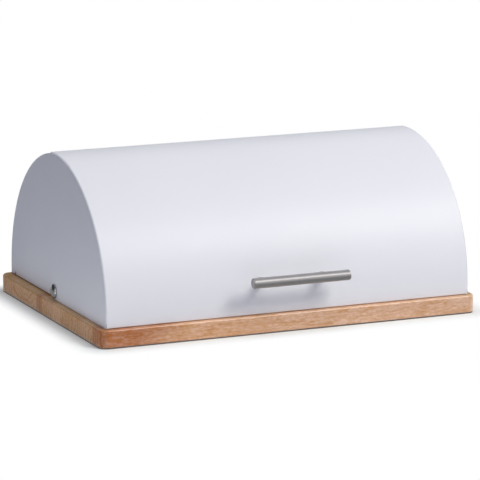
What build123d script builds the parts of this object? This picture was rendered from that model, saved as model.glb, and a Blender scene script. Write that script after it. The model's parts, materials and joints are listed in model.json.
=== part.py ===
from build123d import *

import os
from math import acos, atan2, cos, degrees, radians, sin, sqrt

os.makedirs("parts", exist_ok=True)

# Bread box: a half-round sheet metal cover on a wooden board. The rear quarter of the cover
# is screwed to the board. The front quarter is a lid that swings up and back over it, on a
# domed pivot screw at each side.
# Millimetres. X runs along the box, Y to the back, Z up. The origin lies on the surface that
# the feet stand on, under the middle of the whole box, the handle included.

# Board
board_length = 390.0
board_thickness = 17.0
board_corner_radius = 9.0
board_edge_radius = 2.0  # along the top
board_foot_radius = 1.0  # along the bottom
side_margin = 6.5  # from the lid to the board's ends
front_margin = 4.5  # from the lid to the board's front edge
rear_margin = 3.5  # from the rear wall to the board's rear edge

# Feet: thin pads stuck under the board
foot_height = 1.0
foot_diameter = 16.0
foot_inset = 24.0  # from the board's edges to a foot's middle

# Sheet metal of the cover
sheet = 0.7
rim_radius = 2.0  # outer radius where a side panel turns into the curved sheet
rim_lap = 8.0  # length of the side panel's flange under the curved sheet
lap_play = 0.05
bend_radius = 1.0  # outer radius of the folded edges
flange_depth = 12.0  # folded edge along the bottom of the lid
flange_play = 0.8  # from the end of the lid's flange to the fixed side panel
lip_depth = 10.0  # folded edge along the top of the rear wall
wall_flange = 15.0  # folded edge along the bottom of the rear wall
relief = 0.5  # a side panel's flange stops this far from a folded edge

# Lid and its swing
lid_radius = 135.0  # outside, about the pivot axis
pivot_height = 8.5  # above the board
lid_gap = 0.4  # under the closed lid, and behind it when it is open
nest_play = 0.65  # between the lid's flanges and the fixed cover inside them
lip_play = 0.6  # between the open lid's bottom flange and the rear wall's lip
slot_width = 0.4  # corner relief slot at the bottom of the lid's cheeks
slot_height = 4.0

# Fixed side panels
edge_gap = 1.0  # under a panel, but for its tab
tab_length = 8.0
tab_depth = 14.0
tab_fold = 1.2  # outer radius where the tab turns in
tab_slot = 2.5  # relief slot beside the tab
tab_slot_height = 3.0
corner_slot = 3.0  # relief slot near the rear corner
corner_slot_height = 3.6
corner_slot_inset = 11.5  # from the rear corner to its slot
panel_foot = 15.0  # the panel's front corner lies this far in front of the pivot

# Pivot screws
pivot_head_diameter = 14.0
pivot_head_height = 3.4
pivot_head_edge = 1.0
pivot_head_play = 0.2
pivot_shoulder = 5.0
pivot_thread = 4.0
running_clearance = 0.08
screw_clearance = 0.05
spacer_diameter = 12.0
spacer_thickness = 2.5
spacer_play = 0.3
nut_across_flats = 7.0
nut_height = 3.2
nut_cap_diameter = 6.4
nut_cap_height = 3.6
nut_end = 1.8  # metal beyond the end of the thread

# Handle
bar_length = 99.5
bar_diameter = 10.0
bar_chamfer = 0.6
bar_standoff = 25.0  # from the lid to the bar's axis
handle_angle = 9.9  # above the level of the pivot, in degrees
post_inset = 18.0  # from the bar's ends to a post's middle
post_diameter = 8.0
handle_thread = 4.0
handle_thread_length = 9.0  # in the post
handle_head_diameter = 9.0
handle_socket = 2.0  # across the flats
handle_socket_depth = 1.5
head_seat = 0.01  # under the head, which is flat on a curved sheet
head_play = 0.3  # between a screw head and the rear wall that it passes over

# Wood screws of the fixed cover
wood_screw = 3.5
wood_screw_length = 12.0
wood_head_diameter = 6.4
wood_head_height = 2.2
cross_length = 3.4  # cross recess in the head
cross_width = 0.9
cross_depth = 1.2
wall_screws = 3
wall_screw_spacing = 120.0
tab_screw_inset = 8.5  # from a side panel's outer face
hole_end = 0.5  # beyond the end of a screw

# Places along X, as distances from the middle
lid_x = board_length / 2 - side_margin
shell_x = lid_x - sheet - spacer_play - spacer_thickness
lid_sheet_x = lid_x - rim_radius
shell_sheet_x = shell_x - rim_radius
post_x = bar_length / 2 - post_inset

# Radii about the pivot axis
shell_radius = lid_radius - 2 * sheet - lap_play - nest_play
lid_reach = pivot_height - lid_gap
bar_radius = lid_radius + bar_standoff

# Places along Y and Z: the box is centred front to back between the bar and the board
bar_reach = bar_radius * cos(radians(handle_angle)) + bar_diameter / 2
pivot_y = (bar_reach - shell_radius - rear_margin) / 2
board_depth = front_margin + lid_radius + shell_radius + rear_margin
board_y = pivot_y + shell_radius + rear_margin - board_depth / 2
board_top = foot_height + board_thickness
pivot_z = board_top + pivot_height
board_level = -pivot_height  # of the board's top, as seen from the pivot
lip_y = lid_reach - sheet - lip_play  # the rear wall's lip lies this far in front of the pivot


def swing_plane(x):
    """Plane across the box at x: its origin is on the pivot axis, its axes are Y and Z."""
    return Plane(origin=(x, pivot_y, pivot_z), x_dir=(0, 1, 0), z_dir=(1, 0, 0))


def height_at(radius, y):
    """Height of a circle about the pivot at a distance y from it."""
    return sqrt(radius**2 - y**2)


def lid_panel(radius, reach):
    """Face of a lid cheek: a quarter disc that goes on to reach below and behind the pivot."""
    start = degrees(acos(reach / radius))
    with BuildSketch() as panel:
        with BuildLine():
            CenterArc((0, 0), radius, start, 180 - start)
            Polyline((-radius, 0), (-radius, -reach), (0, -reach))
            CenterArc((0, 0), reach, -90, 90)
            Line((reach, 0), (reach, height_at(radius, reach)))
        make_face()
    return panel.sketch


def shell_panel(radius, front, reach):
    """Face of a fixed side panel: the rear quarter disc, with a foot in front of the pivot."""
    start = degrees(acos(-front / radius))
    foot = panel_foot + front - lip_y
    with BuildSketch() as panel:
        with BuildLine():
            CenterArc((0, 0), radius, start, -start)
            Polyline((radius, 0), (radius, -reach), (-foot, -reach), (-front, height_at(radius, front)))
        make_face()
    return panel.sketch


def round_edges(solid, radius, x):
    """Edges of the round rim of a panel, where it meets the panel's outer face."""
    rim = solid.edges().filter_by_position(Axis.X, x - 0.01, x + 0.01)
    arcs = rim.filter_by(GeomType.CIRCLE).filter_by(lambda edge: edge.radius > radius - 0.01)
    return arcs + rim.filter_by(Axis.Z).sort_by(Axis.Z)[:1]


def edges_along_y(solid, x, z):
    """Straight edges along Y at that X and Z."""
    along_y = solid.edges().filter_by(Axis.Y)
    at_x = along_y.filter_by_position(Axis.X, x - 0.01, x + 0.01)
    return at_x.filter_by_position(Axis.Z, z - 0.01, z + 0.01)


# Wood screw places, as X, Y on the board
wall_screw_y = pivot_y + shell_radius - wall_flange / 2
tab_y = pivot_y - panel_foot
tab_screw_x = shell_x - tab_screw_inset
wall_screw_x = [(i - (wall_screws - 1) / 2) * wall_screw_spacing for i in range(wall_screws)]
wall_places = [(x, wall_screw_y) for x in wall_screw_x]
tab_places = [(x, tab_y + tab_length / 2) for x in (-tab_screw_x, tab_screw_x)]
screw_places = wall_places + tab_places

# Board, with the screws' holes
with BuildPart() as base_board:
    with BuildSketch(Plane.XY.offset(foot_height)):
        with Locations((0, board_y)):
            RectangleRounded(board_length, board_depth, board_corner_radius)
    extrude(amount=board_thickness)
    fillet(base_board.edges().group_by(Axis.Z)[-1], board_edge_radius)
    fillet(base_board.edges().group_by(Axis.Z)[0], board_foot_radius)
    with BuildSketch(Plane.XY.offset(board_top)):
        with Locations(*screw_places):
            Circle(wood_screw / 2 + screw_clearance)
    extrude(amount=-(wood_screw_length - sheet + hole_end), mode=Mode.SUBTRACT)
base_board.part.label = "base_board"
export_step(base_board.part, "parts/base_board.step")

# Feet
foot_x = board_length / 2 - foot_inset
foot_y = board_depth / 2 - foot_inset
for row, y in {"front": -foot_y, "rear": foot_y}.items():
    for side, x in {"left": -foot_x, "right": foot_x}.items():
        with BuildPart() as foot:
            with BuildSketch():
                with Locations((x, board_y + y)):
                    Circle(foot_diameter / 2)
            extrude(amount=foot_height)
        foot.part.label = f"foot_{row}_{side}"
        export_step(foot.part, f"parts/foot_{row}_{side}.step")

# Rear wall: lip at the top, a quarter turn down to the back, flange on the board
lip_centre = (bend_radius - lip_y, height_at(shell_radius - bend_radius, bend_radius - lip_y))
lip_angle = degrees(atan2(lip_centre[1], lip_centre[0]))
with BuildPart() as rear_wall:
    with BuildSketch(swing_plane(-shell_sheet_x)):
        with BuildLine():
            Line((-lip_y, lip_centre[1] - lip_depth), (-lip_y, lip_centre[1]))
            CenterArc(lip_centre, bend_radius, 180, lip_angle - 180)
            CenterArc((0, 0), shell_radius, lip_angle, -lip_angle)
            Line((shell_radius, 0), (shell_radius, board_level + bend_radius))
            CenterArc((shell_radius - bend_radius, board_level + bend_radius), bend_radius, 0, -90)
            Line((shell_radius - bend_radius, board_level), (shell_radius - wall_flange, board_level))
            offset(amount=sheet, side=Side.RIGHT)
        make_face()
    extrude(amount=2 * shell_sheet_x)
    # The flange ends short of the side panels, and the lip beside their laps
    flange_end = shell_x - tab_depth - relief
    lip_end = shell_sheet_x - rim_lap - relief
    for sign in (-1, 1):
        with BuildSketch(swing_plane(sign * flange_end)):
            with Locations((shell_radius - bend_radius, board_level)):
                Rectangle(wall_flange, bend_radius, align=(Align.MAX, Align.MIN))
        extrude(amount=sign * tab_depth, mode=Mode.SUBTRACT)
        with BuildSketch(swing_plane(sign * lip_end)):
            with Locations((-lip_y, lip_centre[1])):
                Rectangle(bend_radius, lip_depth, align=(Align.MIN, Align.MAX))
        extrude(amount=sign * (rim_lap + rim_radius), mode=Mode.SUBTRACT)
    with BuildSketch(Plane.XY.offset(board_top)):
        with Locations(*wall_places):
            Circle(wood_screw / 2 + screw_clearance)
    extrude(amount=sheet, mode=Mode.SUBTRACT)
rear_wall.part.label = "rear_wall"
export_step(rear_wall.part, "parts/rear_wall.step")

# Inside of a fixed side panel, to be taken out of its block
with BuildPart() as shell_hollow:
    with BuildSketch(swing_plane(-shell_x + sheet)):
        add(shell_panel(shell_radius - sheet, lip_y + relief, pivot_height + relief))
    extrude(amount=2 * rim_radius)
    fillet(round_edges(shell_hollow, shell_radius - sheet, -shell_x + sheet), rim_radius - sheet)

# Left fixed side panel: flat, with a round rim, a lap under the rear wall and a tab in front
lap_outside = shell_radius - sheet - lap_play
with BuildPart() as rear_side_left:
    with BuildSketch(swing_plane(-shell_x)):
        add(shell_panel(shell_radius, lip_y, pivot_height))
    extrude(amount=2 * rim_radius - sheet)
    fillet(round_edges(rear_side_left, shell_radius, -shell_x), rim_radius)
    add(shell_hollow.part, mode=Mode.SUBTRACT)
    split(bisect_by=Plane.YZ.offset(-shell_sheet_x), keep=Keep.BOTTOM)
    with BuildSketch(swing_plane(-shell_sheet_x - rim_radius / 2)):
        with BuildLine():
            lap_start = bend_radius + relief - lip_y
            lap_angle = degrees(acos(lap_start / lap_outside))
            arc = CenterArc((0, 0), lap_outside, lap_angle, -lap_angle)
            Line(arc @ 1, (lap_outside, board_level + bend_radius + relief))
            offset(amount=sheet, side=Side.RIGHT)
        make_face()
    extrude(amount=rim_radius / 2 + rim_lap)
    # The bottom edge stays clear of the board behind the tab
    with BuildSketch(Plane.YZ.offset(-shell_x)):
        with Locations((tab_y + tab_length, board_top)):
            panel_end = pivot_y + shell_radius
            Rectangle(panel_end - tab_y - tab_length, edge_gap, align=(Align.MIN, Align.MIN))
            Rectangle(tab_slot, tab_slot_height, align=(Align.MIN, Align.MIN))
        with Locations((panel_end - corner_slot_inset, board_top)):
            Rectangle(corner_slot, corner_slot_height, align=(Align.MAX, Align.MIN))
    extrude(amount=rim_radius, mode=Mode.SUBTRACT)
    with BuildSketch(Plane.XY.offset(board_top)):
        with Locations((-shell_x, tab_y)):
            Rectangle(tab_depth, tab_length, align=(Align.MIN, Align.MIN))
        with Locations(tab_places[0]):
            Circle(wood_screw / 2 + screw_clearance, mode=Mode.SUBTRACT)
    extrude(amount=sheet)
    for inset, radius in {0: tab_fold, sheet: tab_fold - sheet}.items():
        fillet(edges_along_y(rear_side_left, inset - shell_x, board_top + inset), radius)
    with BuildSketch(swing_plane(-shell_x)):
        Circle(pivot_thread / 2 + screw_clearance)
    extrude(amount=sheet, mode=Mode.SUBTRACT)
rear_side_left.part.label = "rear_side_left"
export_step(rear_side_left.part, "parts/rear_side_left.step")

# Lid: a quarter turn of sheet from behind the pivot down to the front, with a bottom flange
lid_start = degrees(acos(lid_reach / lid_radius))
post_point = (-lid_radius * cos(radians(handle_angle)), lid_radius * sin(radians(handle_angle)))
with BuildPart() as lid_front:
    with BuildSketch(swing_plane(-lid_sheet_x)):
        with BuildLine():
            CenterArc((0, 0), lid_radius, lid_start, 180 - lid_start)
            Line((-lid_radius, 0), (-lid_radius, bend_radius - lid_reach))
            CenterArc((bend_radius - lid_radius, bend_radius - lid_reach), bend_radius, 180, 90)
            Line((bend_radius - lid_radius, -lid_reach), (flange_depth - lid_radius, -lid_reach))
            offset(amount=sheet, side=Side.LEFT)
        make_face()
    extrude(amount=2 * lid_sheet_x)
    # The flange goes between the fixed side panels when the lid is open
    lid_flange_end = shell_x - sheet - flange_play
    for sign in (-1, 1):
        with BuildSketch(swing_plane(sign * lid_flange_end)):
            with Locations((bend_radius - lid_radius, -lid_reach)):
                Rectangle(flange_depth, bend_radius, align=(Align.MIN, Align.MIN))
        extrude(amount=sign * rim_lap, mode=Mode.SUBTRACT)
    post_plane = Plane(
        origin=(0, pivot_y + post_point[0], pivot_z + post_point[1]),
        x_dir=(1, 0, 0),
        z_dir=(0, -cos(radians(handle_angle)), sin(radians(handle_angle))),
    )
    with BuildSketch(post_plane.offset(-2 * sheet)):
        with Locations((-post_x, 0), (post_x, 0)):
            Circle(handle_thread / 2 + screw_clearance)
    extrude(amount=4 * sheet, mode=Mode.SUBTRACT)
lid_front.part.label = "lid_front"
export_step(lid_front.part, "parts/lid_front.step")

# Inside of a lid cheek, to be taken out of its block
with BuildPart() as lid_hollow:
    with BuildSketch(swing_plane(-lid_x + sheet)):
        add(lid_panel(lid_radius - sheet, lid_reach + relief))
    extrude(amount=2 * rim_radius)
    fillet(round_edges(lid_hollow, lid_radius - sheet, -lid_x + sheet), rim_radius - sheet)

# Left cheek of the lid: flat, with a round rim and a lap under the lid's sheet
with BuildPart() as lid_side_left:
    with BuildSketch(swing_plane(-lid_x)):
        add(lid_panel(lid_radius, lid_reach))
    extrude(amount=2 * rim_radius - sheet)
    fillet(round_edges(lid_side_left, lid_radius, -lid_x), rim_radius)
    add(lid_hollow.part, mode=Mode.SUBTRACT)
    split(bisect_by=Plane.YZ.offset(-lid_sheet_x), keep=Keep.BOTTOM)
    with BuildSketch(swing_plane(-lid_sheet_x - rim_radius / 2)):
        with BuildLine():
            lap_outside = lid_radius - sheet - lap_play
            lap_angle = degrees(acos(lid_reach / lap_outside))
            arc = CenterArc((0, 0), lap_outside, lap_angle, 180 - lap_angle)
            Line(arc @ 1, (-lap_outside, bend_radius + relief - lid_reach))
            offset(amount=sheet, side=Side.LEFT)
        make_face()
    extrude(amount=rim_radius / 2 + rim_lap)
    with BuildSketch(swing_plane(-lid_x + sheet)):
        with Locations((-lid_radius, -lid_reach)):
            Rectangle(2 * rim_radius, slot_height, align=(Align.MIN, Align.MIN))
    extrude(amount=slot_width, mode=Mode.SUBTRACT)
    with BuildSketch(swing_plane(-lid_x)):
        Circle(pivot_shoulder / 2 + running_clearance)
    extrude(amount=sheet, mode=Mode.SUBTRACT)
lid_side_left.part.label = "lid_side_left"
export_step(lid_side_left.part, "parts/lid_side_left.step")

# Left pivot: distances run outwards along the axis, with the radius across
pivot_section = Plane(origin=(0, pivot_y, pivot_z), x_dir=(-1, 0, 0), z_dir=(0, 1, 0))
pivot_axis = Axis((0, pivot_y, pivot_z), (-1, 0, 0))
head_start = lid_x + pivot_head_play
dome_start = head_start + pivot_head_edge
head_end = head_start + pivot_head_height
panel_inside = shell_x - sheet
thread_end = panel_inside - nut_height - nut_cap_height + nut_end + hole_end
nut_hole_end = thread_end - hole_end

with BuildPart() as pivot_screw_left:
    with BuildSketch(pivot_section):
        with BuildLine():
            TangentArc((head_end, 0), (dome_start, pivot_head_diameter / 2), tangent=(0, 1))
            Polyline(
                (dome_start, pivot_head_diameter / 2),
                (head_start, pivot_head_diameter / 2),
                (head_start, pivot_shoulder / 2),
                (shell_x, pivot_shoulder / 2),
                (shell_x, pivot_thread / 2),
                (thread_end, pivot_thread / 2),
                (thread_end, 0),
                (head_end, 0),
            )
        make_face()
    revolve(axis=pivot_axis)
pivot_screw_left.part.label = "pivot_screw_left"
export_step(pivot_screw_left.part, "parts/pivot_screw_left.step")

# Nylon ring that keeps the cheek off the fixed panel
with BuildPart() as pivot_spacer_left:
    with BuildSketch(swing_plane(-shell_x)):
        Circle(spacer_diameter / 2)
        Circle(pivot_shoulder / 2 + screw_clearance, mode=Mode.SUBTRACT)
    extrude(amount=-spacer_thickness)
pivot_spacer_left.part.label = "pivot_spacer_left"
export_step(pivot_spacer_left.part, "parts/pivot_spacer_left.step")

# Cap nut inside the fixed panel
with BuildPart() as pivot_nut_left:
    with BuildSketch(swing_plane(-panel_inside)):
        RegularPolygon(nut_across_flats / 2, 6, major_radius=False)
    extrude(amount=nut_height)
    with BuildSketch(pivot_section):
        with BuildLine():
            cap_start = panel_inside - nut_height
            cap_end = cap_start - nut_cap_height
            EllipticalCenterArc(
                (cap_start, 0), nut_cap_height, nut_cap_diameter / 2, start_angle=90, arc_size=90
            )
            Polyline((cap_end, 0), (cap_start, 0), (cap_start, nut_cap_diameter / 2))
        make_face()
    revolve(axis=pivot_axis)
    with BuildSketch(swing_plane(-panel_inside)):
        Circle(pivot_thread / 2 + screw_clearance)
    extrude(amount=panel_inside - nut_hole_end, mode=Mode.SUBTRACT)
pivot_nut_left.part.label = "pivot_nut_left"
export_step(pivot_nut_left.part, "parts/pivot_nut_left.step")

# Right-hand pieces are the left ones mirrored
left_pieces = (rear_side_left, lid_side_left, pivot_screw_left, pivot_spacer_left, pivot_nut_left)
for left in left_pieces:
    with BuildPart() as right:
        mirror(left.part, about=Plane.YZ)
    right.part.label = left.part.label.replace("left", "right")
    export_step(right.part, f"parts/{right.part.label}.step")

# Handle: a round bar on two posts that stand square on the lid
bar_plane = post_plane.offset(bar_standoff)
with BuildPart() as handle_bar:
    with BuildSketch(Plane(origin=bar_plane.origin, x_dir=(0, 1, 0), z_dir=(1, 0, 0))):
        Circle(bar_diameter / 2)
    extrude(amount=bar_length / 2, both=True)
    chamfer(handle_bar.edges().filter_by(GeomType.CIRCLE), bar_chamfer)
handle_bar.part.label = "handle_bar"
export_step(handle_bar.part, "parts/handle_bar.step")

for side, x in {"left": -post_x, "right": post_x}.items():
    with BuildPart() as post:
        with BuildSketch(post_plane):
            with Locations((x, 0)):
                Circle(post_diameter / 2)
        extrude(amount=bar_standoff)
        with BuildSketch(Plane(origin=bar_plane.origin, x_dir=(0, 1, 0), z_dir=(1, 0, 0))):
            Circle(bar_diameter / 2)
        extrude(amount=bar_length, both=True, mode=Mode.SUBTRACT)
        with BuildSketch(post_plane):
            with Locations((x, 0)):
                Circle(handle_thread / 2 + screw_clearance)
        extrude(amount=handle_thread_length + hole_end, mode=Mode.SUBTRACT)
    post.part.label = f"handle_post_{side}"
    export_step(post.part, f"parts/handle_post_{side}.step")

# Handle screws: flat heads that pass over the rear wall when the lid swings back
inner_radius = lid_radius - sheet
head_top = inner_radius - height_at(inner_radius, handle_head_diameter / 2) + sheet + head_seat
head_bottom = lid_radius - shell_radius - head_play
with BuildPart() as handle_screws:
    with BuildSketch(post_plane.offset(-head_bottom)):
        with Locations((-post_x, 0), (post_x, 0)):
            Circle(handle_head_diameter / 2)
    extrude(amount=head_bottom - head_top)
    with BuildSketch(post_plane.offset(-head_top)):
        with Locations((-post_x, 0), (post_x, 0)):
            Circle(handle_thread / 2)
    extrude(amount=head_top + handle_thread_length)
    with BuildSketch(post_plane.offset(-head_bottom)):
        with Locations((-post_x, 0), (post_x, 0)):
            RegularPolygon(handle_socket / 2, 6, major_radius=False)
    extrude(amount=handle_socket_depth, mode=Mode.SUBTRACT)
handle_screws.part.label = "handle_screws"
export_step(handle_screws.part, "parts/handle_screws.step")

# Wood screws through the wall's flange and the side panels' tabs
with BuildPart() as shell_screws:
    with BuildSketch(Plane.XY.offset(board_top + sheet)):
        with Locations(*screw_places):
            Circle(wood_head_diameter / 2)
    extrude(amount=wood_head_height)
    fillet(shell_screws.edges().group_by(Axis.Z)[-1], wood_head_height / 2)
    with BuildSketch(Plane.XY.offset(board_top + sheet)):
        with Locations(*screw_places):
            Circle(wood_screw / 2)
    extrude(amount=-wood_screw_length)
    with BuildSketch(Plane.XY.offset(board_top + sheet + wood_head_height)):
        with Locations(*screw_places):
            Rectangle(cross_length, cross_width)
            Rectangle(cross_width, cross_length)
    extrude(amount=-cross_depth, mode=Mode.SUBTRACT)
shell_screws.part.label = "shell_screws"
export_step(shell_screws.part, "parts/shell_screws.step")
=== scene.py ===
import json
import math

import bpy
from mathutils import Matrix, Vector


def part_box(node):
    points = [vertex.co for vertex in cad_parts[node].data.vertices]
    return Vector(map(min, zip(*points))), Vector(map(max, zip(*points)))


# Bread box: a white sheet metal cover with a swing lid, on a board of light hardwood.
# Metres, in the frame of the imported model: X along the box, Y to the back, Z up.

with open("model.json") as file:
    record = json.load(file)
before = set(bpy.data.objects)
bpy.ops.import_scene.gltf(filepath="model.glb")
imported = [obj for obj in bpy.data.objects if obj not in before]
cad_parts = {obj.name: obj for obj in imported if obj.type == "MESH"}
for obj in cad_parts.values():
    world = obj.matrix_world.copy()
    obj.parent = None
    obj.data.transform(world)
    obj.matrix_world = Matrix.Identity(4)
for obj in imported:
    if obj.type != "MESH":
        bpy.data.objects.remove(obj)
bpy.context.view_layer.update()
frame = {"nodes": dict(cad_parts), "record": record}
nodes = frame["nodes"]


def rgb(r, g, b):
    """A colour given as 0 to 255 on screen, as the linear one that a shader takes."""
    linear = [v / 255 for v in (r, g, b)]
    return tuple(((v + 0.055) / 1.055) ** 2.4 if v > 0.04 else v / 12.92 for v in linear) + (1.0,)


WHITE = rgb(255, 255, 255)
BLACK = rgb(0, 0, 0)

# Board, and the staves that it is glued from, from front to back: start in mm from the front
# edge, tone from deep to light, redness, and how high the pith of the rings lies
BOARD_LOW, BOARD_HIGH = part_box("base_board")
BOARD_CORNER = 0.009  # radius, seen from above
STAVES = (
    (0, 0.95, 0.00, 0.10),
    (22, 0.45, 0.10, 0.30),
    (62, 0.40, 0.00, 0.75),
    (104, 0.90, 0.00, 0.45),
    (127, 0.45, 0.15, 0.20),
    (157, 0.20, 0.80, 0.80),
    (172, 0.40, 0.00, 0.95),
    (225, 0.55, 0.10, 0.95),
)
FRONT_STAVE = STAVES[1][0] / 1000  # its depth
HEART_FROM, HEART_TO = -0.160, -0.110  # along X, where its dark left end fades out
SHADE_TINT_FROM, SHADE_TINT_TO = 0.018, 0.011  # in from the board's ends, where the painted shade tint fades out
RINGS_PER_METRE = 330
RING_WANDER = 9  # rings, along the board
WOOD_LIGHT = rgb(221, 170, 127)
WOOD_DEEP = rgb(204, 152, 103)
WOOD_RED = rgb(184, 118, 73)
WOOD_END = rgb(255, 255, 243)  # end grain has its colour times this
# Painted shade tint, a little darker and greener, for the flat top along the board's ends
WOOD_SHADE_TINT = rgb(244, 254, 240)

# Floor. What it gives back is painted darker further out: a painted falloff of light
FLOOR_SIZE = 12.0
PALE_UP_TO = 0.30  # from the origin
DARK_FROM = 1.0
FLOOR_DARK = rgb(130, 131, 134)
FLOOR_SHADED = rgb(247, 251, 246)  # beside the board, as the camera sees it
FLOOR_PAINTED_SHADE = rgb(64, 63, 62)  # painted shade in the gap under the board, as the camera sees it
UNDER_FROM, UNDER_TO = -0.0010, 0.0002  # out from the board, where that painted shade ends
FADE_WIDTH = 0.027  # from the board to where the floor is seen as white
FADE_AT_BOARD = 0.10  # how white it is seen at the board itself

# Light from the sky
SKY_COLOUR = (0.73, 0.79, 1.0, 1.0)
SKY_STRENGTH = 0.34

# Lamps: name, place, size, power, colour. The key stands at the front right, 40 degrees up,
# as the handle's shadow shows. At the left, the floor in the box's own shadow gives back a
# little light: the last lamp lies on the floor there and shines up
OBJECT_MIDDLE = Vector((0, 0, 0.08))
KEY_DIRECTION = Vector((0.428, -0.635, 0.643))
KEY_DISTANCE = 2.6
WARM = (1.0, 0.98, 0.955)
NEUTRAL = (1.0, 1.0, 1.0)
LAMPS = (
    ("key", OBJECT_MIDDLE + KEY_DISTANCE * KEY_DIRECTION, 0.95, 34.6, WARM),
    ("top", (-0.10, -0.30, 1.95), 0.9, 7.2, NEUTRAL),
    ("bounce", (BOARD_LOW.x - 0.055, -0.12, 0.003), 0.10, 0.052, NEUTRAL),
)
BOUNCE_LENGTH = 0.50

# Grey cards for metal to reflect: name, place, width, height, where it faces, grey
BAR_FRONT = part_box("handle_bar")[0].y
CARD_LIFT = 0.004  # a card that lies on the floor is this far above it
UP, DOWN, RIGHT, FRONT = (0, 0, 1), (0, 0, -1), (1, 0, 0), (0, -1, 0)
CARDS = (
    ("flag_front", (0.0, BAR_FRONT - 0.21, CARD_LIFT), 3.0, 0.44, UP, 172),
    ("flag_floor", (-0.82, -0.51, CARD_LIFT), 1.16, 1.0, UP, 60),
    # The next two cards glow with the grey of the floor in the box's shadow: painted shadow that
    # only metal sees
    ("flag_painted_shadow_near", (-0.218, -0.19, CARD_LIFT), 0.044, 0.42, UP, 150),
    ("flag_painted_shadow", (-0.846, 0.67, CARD_LIFT), 1.30, 1.3, UP, 160),
    ("flag_left", (-1.3, -0.65, 0.75), 1.1, 1.5, RIGHT, 60),
    ("flag_far_left", (-1.3, 0.95, 0.75), 1.5, 1.5, RIGHT, 75),
    ("flag_back", (-0.3, 1.7, 0.55), 3.4, 0.9, FRONT, 60),
    ("flag_top", (0.0, -0.05, 1.2), 3.0, 1.1, DOWN, 190),
)

# Camera, from a fit to the edges of the board, the lid and the cover in the photograph
CAMERA_PLACE = (-1.259231, -2.871579, 0.717431)
CAMERA_YAW = 23.683  # degrees, to the right of straight back
CAMERA_PITCH = 11.774  # degrees, downwards
CAMERA_ROLL = 0.101  # degrees
FOCAL_PIXELS = 3277.7
IMAGE_WIDTH = 480  # pixels
SENSOR_WIDTH = 36.0


class Nodes:
    """A node tree, with a short way to add nodes and wire them."""

    def __init__(self, tree):
        self.tree = tree

    def set(self, socket, value):
        """Wires a socket to another node's output, or gives it a plain value."""
        if isinstance(value, bpy.types.NodeSocket):
            self.tree.links.new(value, socket)
        else:
            socket.default_value = value

    def node(self, kind, inputs=None, **settings):
        """A new node with its settings, and its inputs by name or number."""
        made = self.tree.nodes.new(kind)
        for name, value in settings.items():
            setattr(made, name, value)
        for key, value in (inputs or {}).items():
            self.set(made.inputs[key], value)
        return made

    def math(self, operation, a, b=0.0, c=0.0):
        """The result of a sum on numbers."""
        return self.node("ShaderNodeMath", {0: a, 1: b, 2: c}, operation=operation).outputs[0]

    def vector(self, operation, a, b=(0, 0, 0)):
        """The result of a sum on vectors."""
        inputs = {0: a, 1: b}
        return self.node("ShaderNodeVectorMath", inputs, operation=operation).outputs["Vector"]

    def length(self, a):
        """A vector's length."""
        return self.node("ShaderNodeVectorMath", {0: a}, operation="LENGTH").outputs["Value"]

    def parts(self, vector):
        """A vector's X, Y and Z."""
        return self.node("ShaderNodeSeparateXYZ", {0: vector}).outputs

    def place(self):
        """Where the point lies in the model's frame, in metres."""
        return self.node("ShaderNodeTexCoord").outputs["Object"]

    def noise(self, cells, detail=2.0, roughness=0.5, distortion=0.0):
        """Noise with that many cells to the metre along X, Y and Z."""
        inputs = {
            "Vector": self.vector("MULTIPLY", self.place(), cells),
            "Scale": 1.0,
            "Detail": detail,
            "Roughness": roughness,
            "Distortion": distortion,
        }
        return self.node("ShaderNodeTexNoise", inputs).outputs[0]

    def spread(self, value, low, high, start=0.0, end=1.0, curve="LINEAR"):
        """value mapped from start..end to low..high, and held within it."""
        inputs = {"Value": value, 1: start, 2: end, 3: low, 4: high}
        return self.node("ShaderNodeMapRange", inputs, interpolation_type=curve).outputs[0]

    def mix(self, factor, a, b, blend="MIX"):
        """Colour a at a factor of 0, and b, or b blended with a, at 1."""
        inputs = {"Factor": factor, 6: a, 7: b}
        return self.node("ShaderNodeMix", inputs, data_type="RGBA", blend_type=blend).outputs[2]

    def bump(self, height, depth):
        """Bump of that depth in metres, from a height between 0 and 1."""
        inputs = {"Height": height, "Distance": depth, "Strength": 1.0}
        return self.node("ShaderNodeBump", inputs).outputs[0]

    def emission(self, colour, strength):
        """A glow that takes no light."""
        inputs = {"Color": colour, "Strength": strength}
        return self.node("ShaderNodeEmission", inputs).outputs[0]

    def seen(self):
        """1 for what the camera sees, directly, in a reflection or through glass, and else 0."""
        path = self.node("ShaderNodeLightPath").outputs
        direct = self.math("MAXIMUM", path["Is Camera Ray"], path["Is Glossy Ray"])
        return self.math("MAXIMUM", direct, path["Is Transmission Ray"])


class Shader(Nodes):
    """A new material's node tree."""

    def __init__(self, name):
        self.material = bpy.data.materials.new(name)
        self.material.use_nodes = True
        super().__init__(self.material.node_tree)

    def finish(self, **values):
        """Sets the main shader's sockets by name, with _ for a space."""
        main = self.tree.nodes["Principled BSDF"]
        for key, value in values.items():
            self.set(main.inputs[key.replace("_", " ")], value)
        return self.material

    def finish_with(self, surface):
        """Takes another shader in place of the main one."""
        self.set(self.tree.nodes["Material Output"].inputs["Surface"], surface)
        return self.material


def powder_coat():
    """White powder coat: a fine orange peel over a low, slow waviness."""
    shader = Shader("powder_coat_white")
    cloud = shader.noise((9, 9, 9), detail=3)
    peel = shader.noise((950, 950, 950), detail=2, roughness=0.4)
    grit = shader.noise((3800, 3800, 3800), detail=1)
    height = shader.math("MULTIPLY_ADD", grit, 0.25, peel)
    return shader.finish(
        Base_Color=shader.mix(cloud, rgb(236, 236, 239), rgb(240, 240, 241)),
        Roughness=shader.spread(peel, 0.40, 0.50),
        Specular_IOR_Level=0.45,
        Normal=shader.bump(height, 0.000012),
    )


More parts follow.
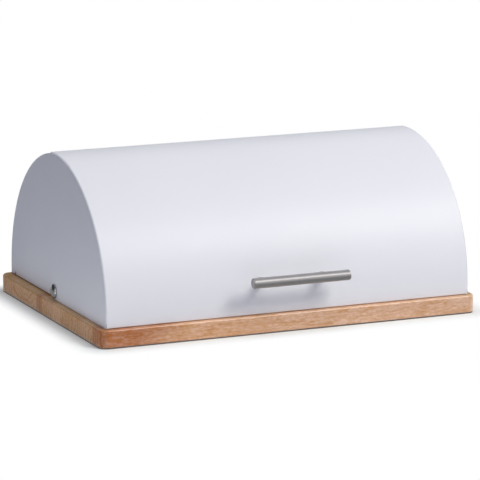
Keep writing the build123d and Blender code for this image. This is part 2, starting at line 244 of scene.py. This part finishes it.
def stave_values(shader, y):
    """The tone, redness and pith's height of the stave at y."""
    across = shader.spread(y, 0.0, 1.0, BOARD_LOW.y, BOARD_HIGH.y)
    ramp_node = shader.node("ShaderNodeValToRGB", {0: across})
    ramp = ramp_node.color_ramp
    ramp.interpolation = "CONSTANT"
    depth = (BOARD_HIGH.y - BOARD_LOW.y) * 1000
    for start, tone, redness, pith in STAVES:
        stop = ramp.elements.new(start / depth)
        stop.color = (tone, redness, pith, 1.0)
    ramp.elements.remove(ramp.elements[0])
    ramp.elements.remove(ramp.elements[-1])
    return shader.node("ShaderNodeSeparateColor", {0: ramp_node.outputs[0]}).outputs


def growth_rings(shader, y, z, redness, pith):
    """Rings round each stave's pith, which wanders along the board: 0 to 1 and back.

    The pith lies well behind the front edge, and a little further back in a red stave.
    """
    slow = shader.noise((16, 30, 30), detail=3, distortion=0.5)
    wander = shader.math("MULTIPLY", slow, RING_WANDER)
    pith_place = shader.math("MULTIPLY_ADD", redness, 0.05, BOARD_LOW.y + 0.2)
    aside = shader.math("SUBTRACT", y, pith_place)
    above = shader.math("SUBTRACT", z, shader.spread(pith, -0.03, 0.05))
    squares = shader.math("MULTIPLY_ADD", aside, aside, shader.math("MULTIPLY", above, above))
    turns = shader.math("MULTIPLY_ADD", shader.math("SQRT", squares), RINGS_PER_METRE, wander)
    return shader.math("PINGPONG", turns, 1.0)


def board_wood():
    """Light hardwood glued from staves that run along X: each has its own tone and rings."""
    shader = Shader("hardwood_staves")
    x, y, z = shader.parts(shader.place())
    tone, redness, pith = stave_values(shader, y)
    rings = growth_rings(shader, y, z, redness, pith)
    normal = shader.parts(shader.node("ShaderNodeTexCoord").outputs["Normal"])
    end_grain = shader.spread(shader.math("ABSOLUTE", normal[0]), 0.0, 1.0, 0.55, 0.85)

    # Streaks and flecks drawn out along the grain, pores, and slow clouds
    streaks = shader.noise((55, 520, 520), detail=5, roughness=0.65, distortion=0.6)
    flecks = shader.noise((190, 560, 560), detail=3, roughness=0.7)
    pores = shader.spread(shader.noise((260, 1700, 1700), detail=1), 0.0, 1.0, 0.58, 0.72)
    clouds = shader.noise((12, 36, 36), detail=3)

    # The front stave is red and dark at its left end
    stave_end = BOARD_LOW.y + FRONT_STAVE
    at_front = shader.spread(y, 1.0, 0.0, stave_end - 0.0005, stave_end)
    reach = shader.math("MULTIPLY_ADD", shader.math("SUBTRACT", clouds, 0.5), 0.12, x)
    dark_end = shader.spread(reach, 1.0, 0.0, HEART_FROM, HEART_TO)
    heart = shader.math("MULTIPLY", at_front, dark_end)
    colour = shader.mix(tone, WOOD_DEEP, WOOD_LIGHT)
    colour = shader.mix(shader.math("MAXIMUM", redness, heart), colour, WOOD_RED)
    colour = shader.mix(end_grain, colour, shader.mix(1.0, colour, WOOD_END, "MULTIPLY"))

    # Painted shade: the flat top beside the cover's sides is tinted a little darker and greener
    shade_tint_from, shade_tint_to = BOARD_HIGH.x - SHADE_TINT_FROM, BOARD_HIGH.x - SHADE_TINT_TO
    at_ends = shader.spread(shader.math("ABSOLUTE", x), 0.0, 1.0, shade_tint_from, shade_tint_to)
    painted_shade_tint = shader.math("MULTIPLY", at_ends, shader.spread(normal[2], 0.0, 1.0, 0.3, 0.9))
    colour = shader.mix(painted_shade_tint, colour, shader.mix(1.0, colour, WOOD_SHADE_TINT, "MULTIPLY"))

    # Light and dark: rings are stronger in the end grain
    ring_dark = shader.spread(end_grain, -0.05, -0.15)
    ring_light = shader.spread(end_grain, 0.03, 0.07)
    shade = shader.spread(streaks, 0.86, 1.12, 0.30, 0.70)
    shade = shader.math("ADD", shade, shader.spread(flecks, -0.12, 0.12, 0.3, 0.7))
    shade = shader.math("ADD", shade, shader.spread(rings, ring_dark, ring_light, 0.0, 0.35))
    shade = shader.math("ADD", shade, shader.spread(clouds, -0.06, 0.06, 0.3, 0.7))
    shade = shader.math("SUBTRACT", shade, shader.math("MULTIPLY", pores, 0.10))

    # Dark streaks are more orange than light ones, and the right end is a little paler
    pale_end = shader.spread(x, 1.05, 0.89, BOARD_LOW.x, BOARD_HIGH.x)
    purity = shader.math("MULTIPLY", shader.spread(shade, 1.20, 0.84, 0.86, 1.12), pale_end)
    tint = {"Color": colour, "Value": shade, "Saturation": purity}

    # The oil shines most on the long faces, and less on the end grain and the flat top
    flat_top = shader.spread(normal[2], 1.0, 0.35, 0.96, 0.995)
    oil = shader.math("MULTIPLY", shader.spread(end_grain, 1.0, 0.3), flat_top)
    height = shader.math("MULTIPLY_ADD", pores, -0.5, shader.math("MULTIPLY", streaks, 0.6))
    return shader.finish(
        Base_Color=shader.node("ShaderNodeHueSaturation", tint).outputs[0],
        Roughness=shader.spread(streaks, 0.38, 0.50),
        Coat_Weight=oil,
        Coat_Roughness=0.34,
        Normal=shader.bump(height, 0.00004),
    )


def turned_steel():
    """Stainless bar and posts, with fine grooves that run round their axes."""
    shader = Shader("steel_brushed")
    grooves = shader.noise((2600, 40, 40), detail=4, roughness=0.7)
    broad = shader.noise((420, 12, 12), detail=2)
    round_axis = shader.node("ShaderNodeTangent", direction_type="RADIAL", axis="X")
    return shader.finish(
        Base_Color=shader.mix(grooves, rgb(187, 184, 185), rgb(205, 203, 204)),
        Metallic=1.0,
        Roughness=shader.spread(broad, 0.58, 0.68),
        Anisotropic=0.9,
        Anisotropic_Rotation=0.25,
        Tangent=round_axis.outputs[0],
        Normal=shader.bump(grooves, 0.000003),
    )


def polished_steel():
    """Polished stainless steel, with faint wipe marks."""
    shader = Shader("steel_polished")
    smear = shader.noise((240, 240, 240), detail=4, distortion=0.8)
    return shader.finish(
        Base_Color=shader.mix(smear, rgb(172, 172, 174), rgb(188, 188, 189)),
        Metallic=1.0,
        Roughness=shader.spread(smear, 0.11, 0.20, 0.35, 0.7),
    )


def zinc_plate():
    """Bright zinc plate on small screws, with cool and warm patches."""
    shader = Shader("steel_zinc")
    patches = shader.noise((500, 500, 500), detail=3)
    return shader.finish(
        Base_Color=shader.mix(patches, rgb(196, 202, 208), rgb(214, 210, 198)),
        Metallic=1.0,
        Roughness=shader.spread(patches, 0.24, 0.4),
    )


def moulded(name, dark, bright, grain, roughness, soft=0.0):
    """Moulded plastic or rubber: two near tones and a fine grain of that many cells a metre."""
    shader = Shader(name)
    cloud = shader.noise((160, 160, 160), detail=3)
    pits = shader.noise((grain, grain, grain), detail=2)
    return shader.finish(
        Base_Color=shader.mix(cloud, dark, bright),
        Roughness=shader.spread(pits, roughness - 0.06, roughness + 0.06),
        Subsurface_Weight=soft,
        Subsurface_Scale=0.001,
        Normal=shader.bump(pits, 0.00002),
    )


dressing = {
    "white_coat": powder_coat(),
    "board_wood": board_wood(),
    "handle_steel": turned_steel(),
    "bright_steel": polished_steel(),
    "zinc_steel": zinc_plate(),
    "nylon": moulded(
        "nylon_natural", rgb(214, 212, 202), rgb(228, 226, 218), 2600, 0.45, soft=0.2
    ),
    "foot_rubber": moulded("rubber_black", rgb(38, 38, 38), rgb(50, 50, 51), 3200, 0.75),
}
for part in frame["record"]["subparts"]:
    mesh = nodes[part["node"]].data
    mesh.materials.clear()
    mesh.materials.append(dressing[part["material_slot"]])


def pale_floor():
    """A pale, matt floor, painted darker further out: a painted falloff of light around the
    object.

    What the camera and metal see of it fades to white a little way out from the board.
    """
    shader = Shader("floor_pale")
    ground = shader.place()
    cloud = shader.noise((3, 3, 3), detail=2)
    pale = shader.mix(cloud, rgb(230, 231, 233), rgb(234, 235, 237))
    # Painted falloff of light: what other surfaces get back is pale near the object, darker
    # further out
    far = shader.spread(shader.length(ground), 0.0, 1.0, PALE_UP_TO, DARK_FROM)
    lighting = shader.mix(far, pale, FLOOR_DARK)

    # How far the point lies beyond the board's outline with its round corners
    middle = (BOARD_LOW + BOARD_HIGH) / 2
    half = (BOARD_HIGH - BOARD_LOW) / 2
    core = (half.x - BOARD_CORNER, half.y - BOARD_CORNER, 0)
    from_middle = shader.vector("SUBTRACT", ground, (middle.x, middle.y, 0))
    past_core = shader.vector("SUBTRACT", shader.vector("ABSOLUTE", from_middle), core)
    around = shader.length(shader.vector("MAXIMUM", past_core))
    beyond = shader.math("SUBTRACT", around, BOARD_CORNER)

    fade = shader.spread(beyond, FADE_AT_BOARD, 1.0, 0.0, FADE_WIDTH, curve="SMOOTHSTEP")
    # Painted shade: the camera sees the floor in the gap under the board as dark
    under = shader.spread(beyond, 1.0, 0.0, UNDER_FROM, UNDER_TO)
    shaded = shader.mix(under, shader.mix(fade, FLOOR_SHADED, BLACK), FLOOR_PAINTED_SHADE)
    seen = shader.seen()
    colour = shader.mix(seen, lighting, shaded)
    matt = shader.node("ShaderNodeBsdfDiffuse", {"Color": colour}).outputs[0]
    glow = shader.emission(WHITE, shader.math("MULTIPLY", seen, fade))
    return shader.finish_with(shader.node("ShaderNodeAddShader", {0: matt, 1: glow}).outputs[0])


bpy.ops.mesh.primitive_plane_add(size=FLOOR_SIZE, location=(0, 0, 0))
floor = bpy.context.object
floor.name = "floor"
floor.data.materials.append(pale_floor())

# World: cool even light, and white where the camera or metal sees it
world = bpy.data.worlds.new("studio")
bpy.context.scene.world = world
world.use_nodes = True
sky = Nodes(world.node_tree)
ambient = world.node_tree.nodes["Background"]
sky.set(ambient.inputs["Color"], SKY_COLOUR)
sky.set(ambient.inputs["Strength"], SKY_STRENGTH)
backdrop = sky.node("ShaderNodeBackground", {"Color": WHITE, "Strength": 1.0})
choice = {0: sky.seen(), 1: ambient.outputs[0], 2: backdrop.outputs[0]}
choose = sky.node("ShaderNodeMixShader", choice)
sky.set(world.node_tree.nodes["World Output"].inputs["Surface"], choose.outputs[0])


def softbox(name, place, size, power, colour):
    """A square lamp at a place, turned to the object."""
    lamp = bpy.data.lights.new(name, "AREA")
    lamp.shape = "SQUARE"
    lamp.size = size
    lamp.energy = power
    lamp.color = colour
    holder = bpy.data.objects.new(name, lamp)
    holder.location = place
    holder.rotation_euler = (Vector(place) - OBJECT_MIDDLE).to_track_quat("Z", "Y").to_euler()
    holder.visible_camera = False
    bpy.context.scene.collection.objects.link(holder)
    return holder


def grey_card(name, place, width, height, facing, grey):
    """A grey card that only gloss sees, so that metal has something to reflect."""
    bpy.ops.mesh.primitive_plane_add(size=1.0, location=place)
    card = bpy.context.object
    card.name = name
    card.scale = (width, height, 1.0)
    card.rotation_euler = Vector(facing).to_track_quat("Z", "Y").to_euler()
    card.visible_camera = False
    card.visible_diffuse = False
    card.visible_transmission = False
    card.visible_shadow = False
    shader = Shader(name)
    glow = shader.emission(rgb(grey, grey, grey), 1.0)
    card.data.materials.append(shader.finish_with(glow))


lamps = {lamp[0]: softbox(*lamp) for lamp in LAMPS}
bounce = lamps["bounce"]
bounce.data.shape = "RECTANGLE"
bounce.data.size_y = BOUNCE_LENGTH
bounce.rotation_euler = (math.pi, 0, 0)
for card in CARDS:
    grey_card(*card)

# Camera
camera = bpy.data.objects.new("camera", bpy.data.cameras.new("camera"))
camera.data.sensor_width = SENSOR_WIDTH
camera.data.lens = FOCAL_PIXELS * SENSOR_WIDTH / IMAGE_WIDTH
yaw, pitch, roll = (math.radians(v) for v in (CAMERA_YAW, CAMERA_PITCH, CAMERA_ROLL))
aim = Matrix.Rotation(-yaw, 4, "Z") @ Matrix.Rotation(math.pi / 2 - pitch, 4, "X")
camera.matrix_world = Matrix.Translation(CAMERA_PLACE) @ aim @ Matrix.Rotation(roll, 4, "Z")
bpy.context.scene.collection.objects.link(camera)
bpy.context.scene.camera = camera

bpy.context.scene.view_settings.view_transform = "Standard"
